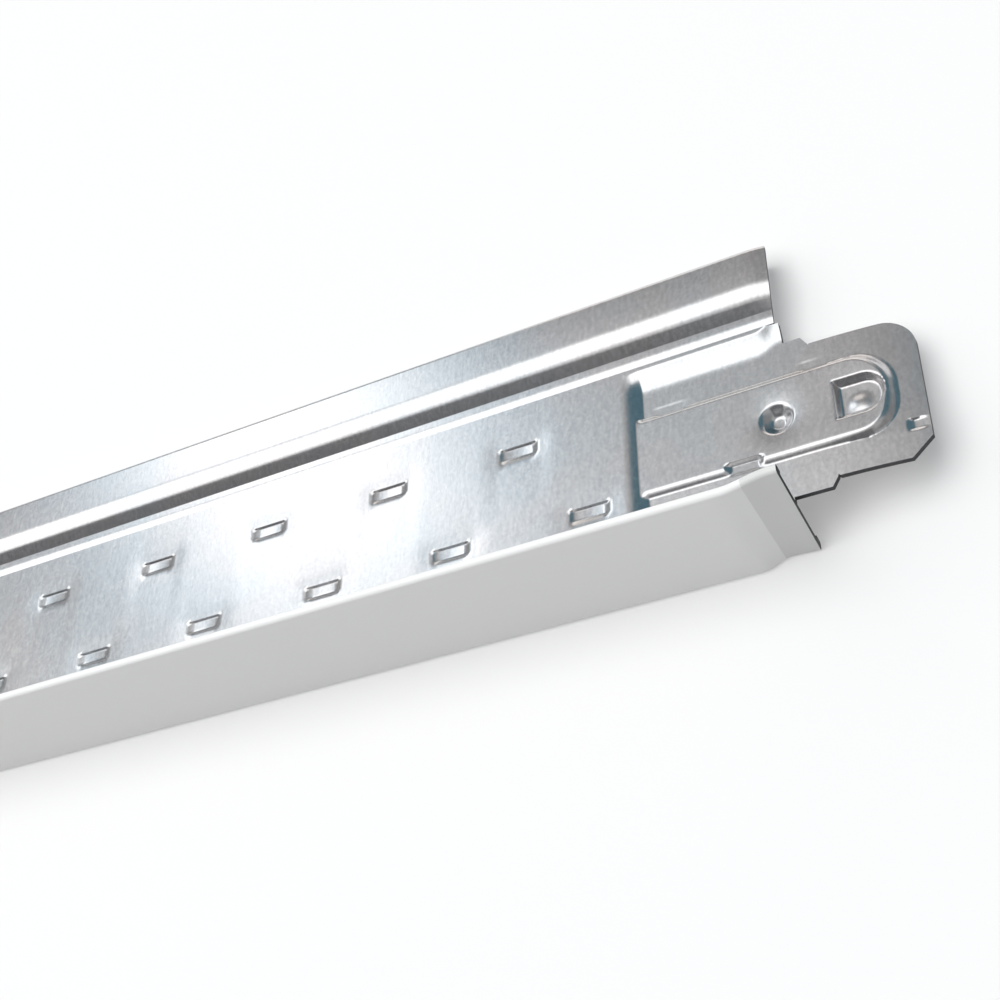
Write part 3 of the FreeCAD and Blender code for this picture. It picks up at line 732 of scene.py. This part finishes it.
def softScreenGroup():
    # How far a direction falls inside a rectangular screen with soft edges, from 0 to 1
    group, take, give = newGroup(
        "softScreen",
        [("Way", "NodeSocketVector", None), ("Aim", "NodeSocketVector", None),
         ("Side", "NodeSocketVector", None), ("Up", "NodeSocketVector", None),
         ("Soft", "NodeSocketFloat", 0.1)],
        [("Mask", "NodeSocketFloat")])
    links = group.links
    facing = addNode(group, "ShaderNodeVectorMath", {"operation": "DOT_PRODUCT"})
    links.new(take.outputs["Way"], facing.inputs[0])
    links.new(take.outputs["Aim"], facing.inputs[1])
    front = addNode(group, "ShaderNodeMath", {"operation": "MAXIMUM"}, {1: 0.0001})
    links.new(facing.outputs["Value"], front.inputs[0])
    mask = None
    for name in ("Side", "Up"):
        across = addNode(group, "ShaderNodeVectorMath", {"operation": "DOT_PRODUCT"})
        links.new(take.outputs["Way"], across.inputs[0])
        links.new(take.outputs[name], across.inputs[1])
        flat = addNode(group, "ShaderNodeMath", {"operation": "DIVIDE"})
        links.new(across.outputs["Value"], flat.inputs[0])
        links.new(front.outputs["Value"], flat.inputs[1])
        reach = addNode(group, "ShaderNodeMath", {"operation": "ABSOLUTE"})
        links.new(flat.outputs["Value"], reach.inputs[0])
        inside = addNode(group, "ShaderNodeMapRange", {"interpolation_type": "SMOOTHSTEP"},
                         {"From Min": 1.0, "To Min": 1.0, "To Max": 0.0})
        wide = addNode(group, "ShaderNodeMath", {"operation": "ADD"}, {1: 1.0})
        links.new(take.outputs["Soft"], wide.inputs[0])
        links.new(wide.outputs["Value"], inside.inputs["From Max"])
        links.new(reach.outputs["Value"], inside.inputs["Value"])
        if mask:
            both = addNode(group, "ShaderNodeMath", {"operation": "MULTIPLY"})
            links.new(mask.outputs["Result"], both.inputs[0])
            links.new(inside.outputs["Result"], both.inputs[1])
            mask = both
        else:
            mask = inside
    links.new(mask.outputs["Value"], give.inputs["Mask"])
    return group


def studioWorld():
    world = bpy.data.worlds.new("studio")
    bpy.context.scene.world = world
    world.use_nodes = True
    tree = world.node_tree
    links = tree.links
    softScreen = softScreenGroup()
    place = addNode(tree, "ShaderNodeTexCoord")
    way = addNode(tree, "ShaderNodeVectorMath", {"operation": "NORMALIZE"})
    links.new(place.outputs["Generated"], way.inputs[0])
    split = addNode(tree, "ShaderNodeSeparateXYZ")
    links.new(way.outputs["Vector"], split.inputs["Vector"])
    upShade = addNode(tree, "ShaderNodeMapRange", {}, studio["upShade"])
    links.new(split.outputs["Z"], upShade.inputs["Value"])
    sideShade = addNode(tree, "ShaderNodeMapRange", {}, studio["sideShade"])
    links.new(split.outputs["X"], sideShade.inputs["Value"])
    grey = addNode(tree, "ShaderNodeMath", {"operation": "ADD"})
    links.new(upShade.outputs["Result"], grey.inputs[0])
    links.new(sideShade.outputs["Result"], grey.inputs[1])
    shade = addNode(tree, "ShaderNodeMath", {"operation": "MAXIMUM"}, {1: studio["darkest"]})
    links.new(grey.outputs["Value"], shade.inputs[0])
    shown = shade.outputs["Value"]
    for screen in studio["screens"]:
        across = math.sqrt(1 - screen["x"] ** 2)
        angle = math.radians(screen["angle"])
        aim = Vector((screen["x"], across * math.cos(angle), across * math.sin(angle)))
        side = Vector((1, 0, 0)) - aim * aim.x
        side.normalize()
        up = side.cross(aim)
        mask = addNode(tree, "ShaderNodeGroup", {"node_tree": softScreen}, {
            "Aim": aim, "Side": side / screen["half"][0], "Up": up / screen["half"][1],
            "Soft": screen["soft"] / min(screen["half"])})
        links.new(way.outputs["Vector"], mask.inputs["Way"])
        mixed = addNode(tree, "ShaderNodeMix", {"data_type": "RGBA"}, {"B": screen["colour"]})
        links.new(mask.outputs["Mask"], mixed.inputs["Factor"])
        links.new(shown, mixed.inputs["A"])
        shown = mixed.outputs["Result"]
    links.new(shown, tree.nodes["Background"].inputs["Color"])


studioWorld()
bpy.context.scene.view_settings.view_transform = "Standard"
print("stage and camera made")
